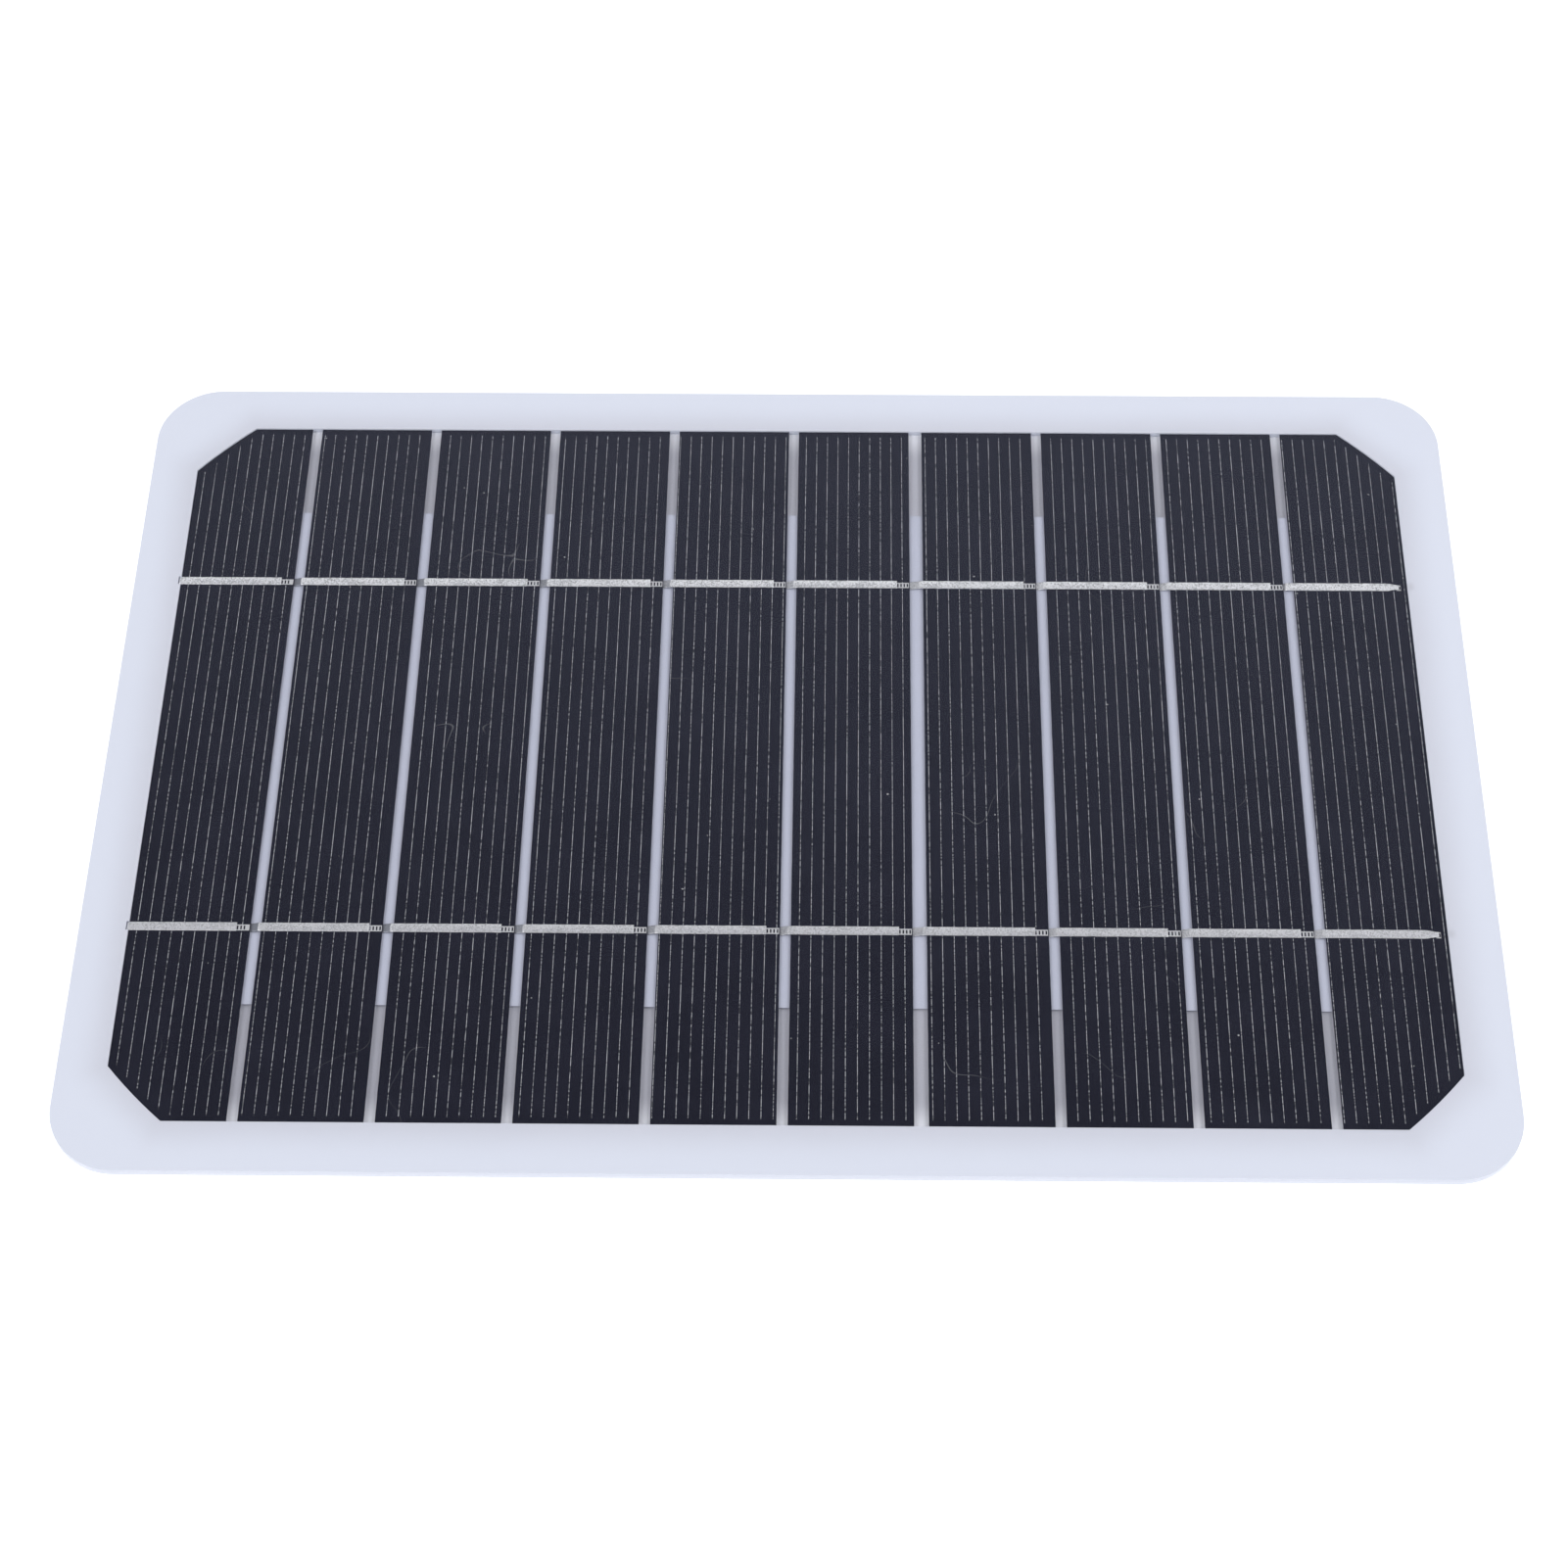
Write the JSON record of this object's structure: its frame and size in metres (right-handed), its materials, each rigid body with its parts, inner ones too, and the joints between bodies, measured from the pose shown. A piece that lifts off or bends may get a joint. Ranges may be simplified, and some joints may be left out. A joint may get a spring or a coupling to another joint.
{
  "type": "flexible solar sheet",
  "caption": "Thin semi-flexible solar laminate: silicon cell strips in series under a frosted film, pale translucent margin, rounded corners, solder tabs on the back.",
  "frame": {"origin": "centre of the back face's outline, on the face that the sheet lies on", "axes": "+X along the long side, across the cell strips, from the negative end to the positive end; +Y along the strips; +Z out of the light-receiving face"},
  "size_m": [0.2084, 0.1404, 0.0015],
  "materials": {
    "frosted_film": "fine frosted, semi-matt",
    "encapsulant": "milky translucent",
    "white_sheet": "plain white sheet",
    "milky_board": "milky, lightly textured",
    "silicon": "dark blue-black anti-reflection coat with silver grid lines",
    "tinned_copper": "dull solder-coated"
  },
  "bodies": {
    "root": {"front_film": "frosted_film", "front_encapsulant": "encapsulant", "rear_encapsulant": "encapsulant", "insulating_sheet": "white_sheet", "back_board": "milky_board", "cell_01": "silicon", "cell_02": "silicon", "cell_03": "silicon", "cell_04": "silicon", "cell_05": "silicon", "cell_06": "silicon", "cell_07": "silicon", "cell_08": "silicon", "cell_09": "silicon", "cell_10": "silicon", "link_ribbon_far_01": "tinned_copper", "link_ribbon_far_02": "tinned_copper", "link_ribbon_far_03": "tinned_copper", "link_ribbon_far_04": "tinned_copper", "link_ribbon_far_05": "tinned_copper", "link_ribbon_far_06": "tinned_copper", "link_ribbon_far_07": "tinned_copper", "link_ribbon_far_08": "tinned_copper", "link_ribbon_far_09": "tinned_copper", "link_ribbon_near_01": "tinned_copper", "link_ribbon_near_02": "tinned_copper", "link_ribbon_near_03": "tinned_copper", "link_ribbon_near_04": "tinned_copper", "link_ribbon_near_05": "tinned_copper", "link_ribbon_near_06": "tinned_copper", "link_ribbon_near_07": "tinned_copper", "link_ribbon_near_08": "tinned_copper", "link_ribbon_near_09": "tinned_copper", "negative_ribbon_far": "tinned_copper", "negative_ribbon_near": "tinned_copper", "positive_ribbon_far": "tinned_copper", "positive_ribbon_near": "tinned_copper", "negative_bus": "tinned_copper", "positive_bus": "tinned_copper", "negative_lead": "tinned_copper", "positive_lead": "tinned_copper"}
  },
  "joints": []
}
